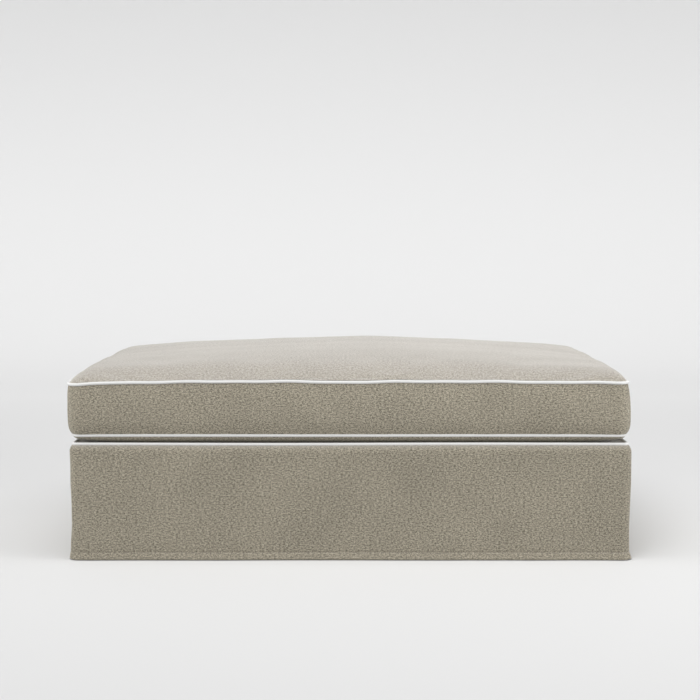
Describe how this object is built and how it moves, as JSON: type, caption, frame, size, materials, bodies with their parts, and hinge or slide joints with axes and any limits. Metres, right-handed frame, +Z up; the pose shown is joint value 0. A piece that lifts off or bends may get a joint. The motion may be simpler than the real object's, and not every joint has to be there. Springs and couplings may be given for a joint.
{
  "type": "ottoman coffee table",
  "caption": "Rectangular ottoman coffee table: a loose crowned box cushion with contrast piping on a piped slipcovered base whose plain skirt hangs straight to the floor.",
  "frame": {"origin": "centre of the footprint on the floor", "axes": "+X along the width to the right seen from the front, +Y to the back with the front at -Y, +Z up"},
  "size_m": [1.3, 0.8, 0.48],
  "materials": {
    "frame_wood": "planed softwood",
    "plated_steel": "zinc plated",
    "glide_plastic": "moulded plastic",
    "webbing": "woven jute webbing",
    "hessian": "loose plain weave",
    "foam": "upholstery foam",
    "wadding": "polyester wadding",
    "lining": "black lining cloth",
    "cover_cloth": "taupe short-pile cloth",
    "piping_cloth": "white plain-weave cloth",
    "piping_cord": "cotton piping cord",
    "zip_tape": "woven tape",
    "zip_coil": "nylon coil",
    "zip_metal": "enamelled"
  },
  "bodies": {
    "frame": {"front_rail": "frame_wood", "back_rail": "frame_wood", "left_rail": "frame_wood", "right_rail": "frame_wood", "left_cross_rail": "frame_wood", "right_cross_rail": "frame_wood", "front_left_corner_block": "frame_wood", "front_left_leg": "frame_wood", "front_right_corner_block": "frame_wood", "front_right_leg": "frame_wood", "back_right_corner_block": "frame_wood", "back_right_leg": "frame_wood", "back_left_corner_block": "frame_wood", "back_left_leg": "frame_wood", "leg_bolts": "plated_steel", "glides": "glide_plastic", "lengthwise_webbing": "webbing", "crosswise_webbing": "webbing", "webbing_staples": "plated_steel", "hessian": "hessian", "deck_pad": "foam", "rail_wadding": "wadding", "dust_cover": "lining"},
    "slipcover": {"deck_panel": "cover_cloth", "front_skirt": "cover_cloth", "right_skirt": "cover_cloth", "back_skirt": "cover_cloth", "left_skirt": "cover_cloth", "base_piping": "piping_cloth", "base_piping_cord": "piping_cord"},
    "cushion": {"foam_core": "foam", "wrap_top": "wadding", "wrap_bottom": "wadding", "wrap_sides": "wadding", "top_panel": "cover_cloth", "bottom_panel": "cover_cloth", "front_boxing": "cover_cloth", "left_boxing": "cover_cloth", "right_boxing": "cover_cloth", "upper_back_boxing": "cover_cloth", "lower_back_boxing": "cover_cloth", "top_piping": "piping_cloth", "top_piping_cord": "piping_cord", "bottom_piping": "piping_cloth", "bottom_piping_cord": "piping_cord", "upper_zip_tape": "zip_tape", "lower_zip_tape": "zip_tape", "upper_zip_coil": "zip_coil", "lower_zip_coil": "zip_coil", "zip_stops": "zip_coil"},
    "zip_slider": {"zip_slider": "zip_metal"},
    "zip_pull": {"zip_pull": "zip_metal"}
  },
  "joints": [
    {"name": "cover_lift", "type": "slide", "parent": "frame", "child": "slipcover", "axis": [0, 0, 1], "range_m": [0, 0.32]},
    {"name": "cushion_lift", "type": "slide", "parent": "slipcover", "child": "cushion", "axis": [0, 0, 1], "range_m": [0, 0.15]},
    {"name": "zip_slide", "type": "slide", "parent": "cushion", "child": "zip_slider", "axis": [-1, 0, 0], "range_m": [0, 1.1108]},
    {"name": "pull_swing", "type": "hinge", "parent": "zip_slider", "child": "zip_pull", "pos_m": [0.5554, 0.3982, 0.3535], "axis": [0, 0, -1], "range_deg": [0, 180]}
  ]
}
